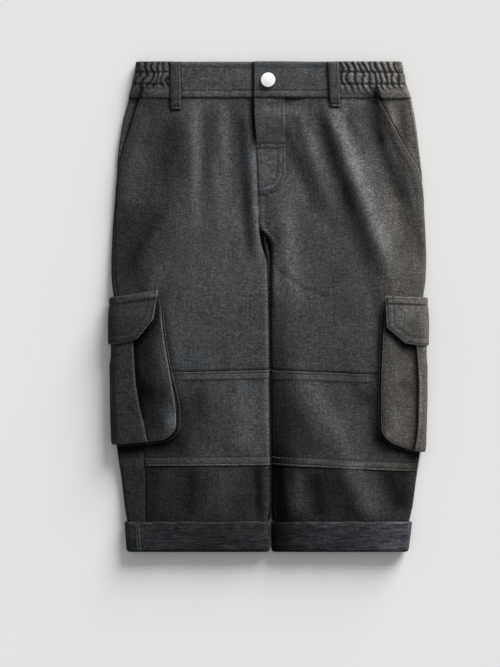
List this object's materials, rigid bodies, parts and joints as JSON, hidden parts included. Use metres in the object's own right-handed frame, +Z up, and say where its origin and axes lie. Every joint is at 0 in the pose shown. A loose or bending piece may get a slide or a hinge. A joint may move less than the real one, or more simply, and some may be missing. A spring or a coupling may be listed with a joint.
{
  "type": "child's cargo trousers laid flat",
  "caption": "Child's canvas cargo trousers laid flat front up: flat waistband with gathered elastic sides, fly, button, slanted hand pockets, bellows cargo pockets with flaps, knee panels, turned-up cuffs",
  "frame": {"origin": "middle of the garment's box at the level it rests on", "axes": "+Z up from the surface, +Y towards the waist, +X towards the wearer's left side, which is the viewer's right with the front upwards"},
  "size_m": [0.3218, 0.491, 0.019],
  "materials": {
    "canvas": "matte",
    "canvas_wrong_side": "matte",
    "button_metal": "satin"
  },
  "bodies": {
    "root": {"front_right": "canvas", "front_left": "canvas", "knee_right": "canvas", "knee_left": "canvas", "shin_right": "canvas", "shin_left": "canvas", "back_right": "canvas", "back_left": "canvas", "hip_facing_right": "canvas", "hip_facing_left": "canvas", "waistband_right": "canvas", "waistband_left": "canvas", "waistband_elastic": "canvas", "belt_loop_right": "canvas", "belt_loop_left": "canvas", "fly_placket": "canvas", "cargo_pocket_right": "canvas", "cargo_pocket_left": "canvas", "cargo_gusset_right": "canvas", "cargo_gusset_left": "canvas", "cargo_flap_right": "canvas", "cargo_flap_left": "canvas", "cuff_right": "canvas_wrong_side", "cuff_left": "canvas_wrong_side", "button": "button_metal"}
  },
  "joints": []
}
